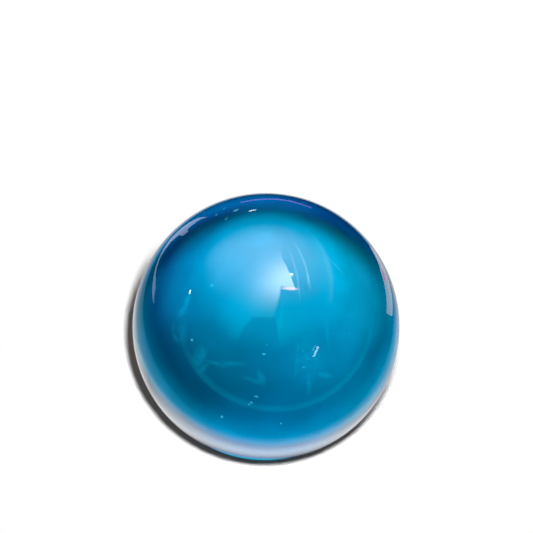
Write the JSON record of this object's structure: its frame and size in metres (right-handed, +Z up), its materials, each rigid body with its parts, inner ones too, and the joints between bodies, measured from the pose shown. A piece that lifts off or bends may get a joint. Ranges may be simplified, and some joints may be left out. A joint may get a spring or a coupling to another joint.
{
  "type": "glass marble",
  "caption": "Solid ball of translucent turquoise glass with a glossy fire-polished skin; rolls freely as a play ball, a bench weight or a free ball in a track or cup.",
  "frame": {"origin": "centre of the ball", "axes": "+Z is up, away from whatever the ball lies on; the ball is the same all round, so +X and +Y are any two level directions at right angles"},
  "size_m": [0.025, 0.025, 0.025],
  "materials": {
    "turquoise_glass": "fire-polished"
  },
  "bodies": {
    "root": {"marble": "turquoise_glass"}
  },
  "joints": []
}
